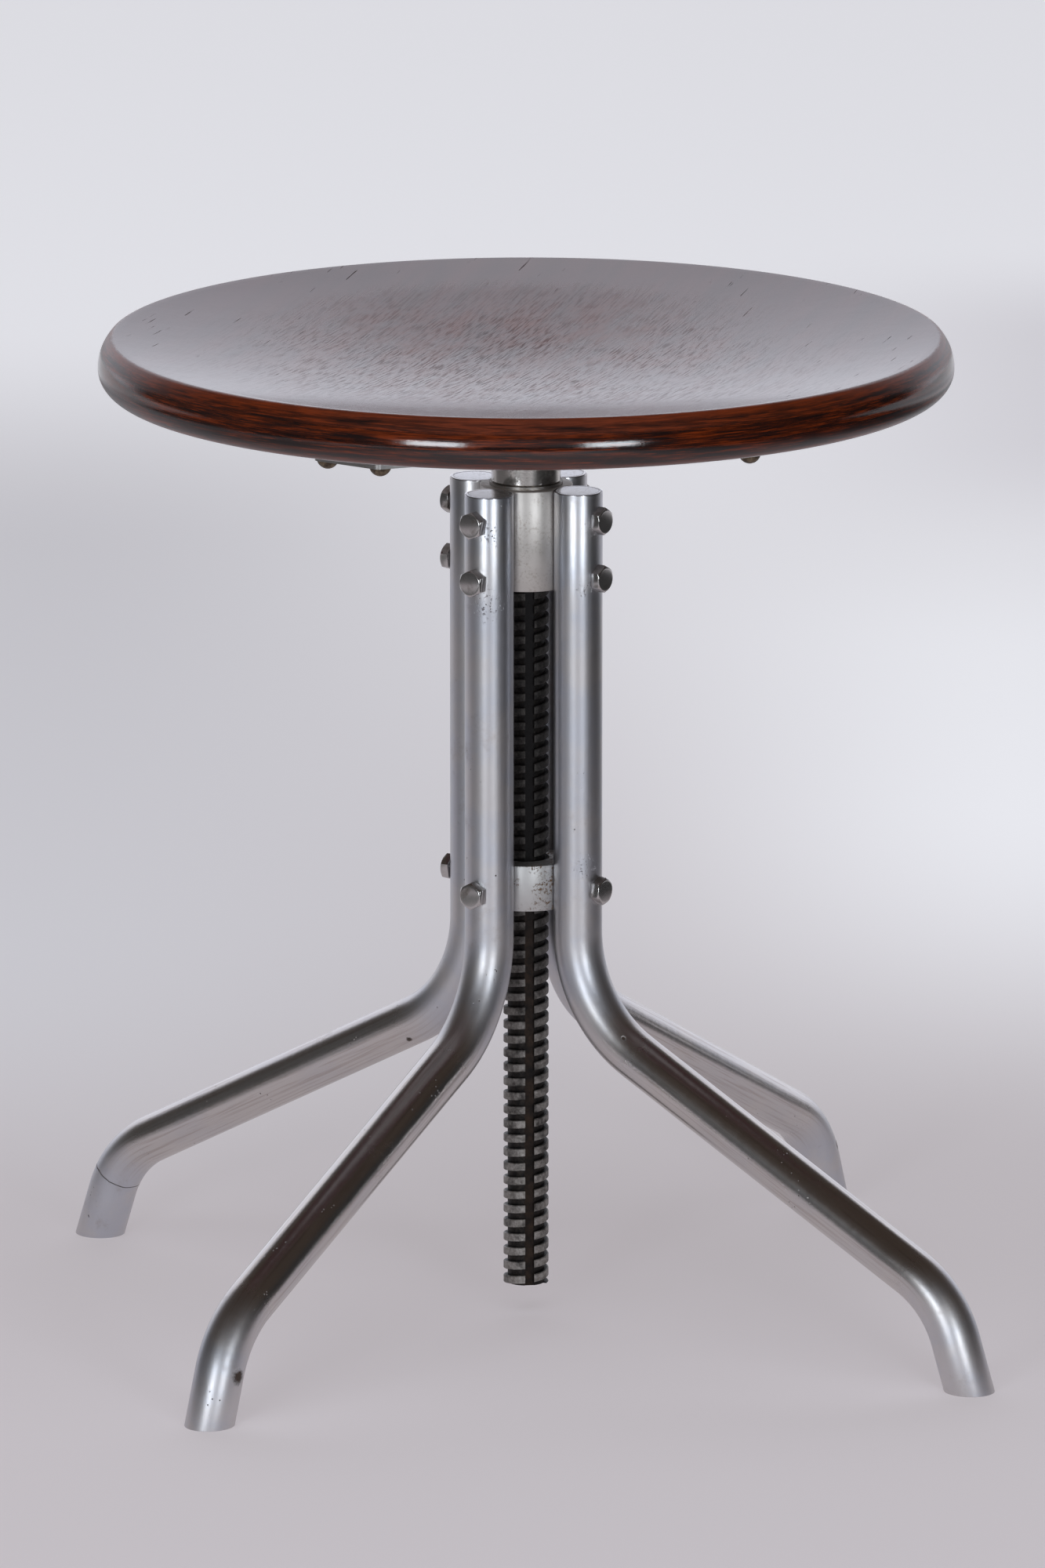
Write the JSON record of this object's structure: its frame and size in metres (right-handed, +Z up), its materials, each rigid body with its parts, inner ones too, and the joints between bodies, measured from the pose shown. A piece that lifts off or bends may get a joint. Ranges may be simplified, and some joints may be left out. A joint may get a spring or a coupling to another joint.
{
  "type": "piano stool",
  "caption": "Round dished wooden seat on a keyed screw spindle that winds up and down in a fluted nut, on a stand of bent steel tubes.",
  "frame": {"origin": "on the floor, on the spindle's axis", "axes": "+Z up, legs on the diagonals of X and Y, the spindle's keyway facing -Y at rest"},
  "size_m": [0.349, 0.3489, 0.4104],
  "materials": {
    "tube": "worn satin plating",
    "steel": "satin",
    "bolt": "satin, worn",
    "screw": "dark and oily",
    "wood_screw": "browned",
    "seat_wood": "dark stain under semi-gloss lacquer"
  },
  "bodies": {
    "stand": {"leg_front_right": "tube", "leg_front_left": "tube", "leg_rear_left": "tube", "leg_rear_right": "tube", "leg_plug_front_right": "tube", "leg_plug_front_left": "tube", "leg_plug_rear_left": "tube", "leg_plug_rear_right": "tube", "screw_nut": "steel", "guide_collar": "steel", "nut_bolts_upper": "bolt", "nut_bolts_lower": "bolt", "collar_bolts": "bolt"},
    "washer": {"friction_washer": "steel"},
    "seat": {"screw_spindle": "screw", "seat_hub": "steel", "seat_plate": "steel", "seat_screws": "wood_screw", "seat_board": "seat_wood"}
  },
  "joints": [
    {"name": "seat_turn", "type": "hinge", "parent": "stand", "child": "washer", "pos_m": [0, 0, 0.349], "axis": [0, 0, 1], "range_deg": [0, 9000]},
    {"name": "seat_lift", "type": "slide", "parent": "washer", "child": "seat", "axis": [0, 0, 1], "range_m": [0, 0.1502]}
  ],
  "couplings": [
    {"joint": "seat_lift", "follows": "seat_turn", "m_per_rad": 0.00095493}
  ]
}
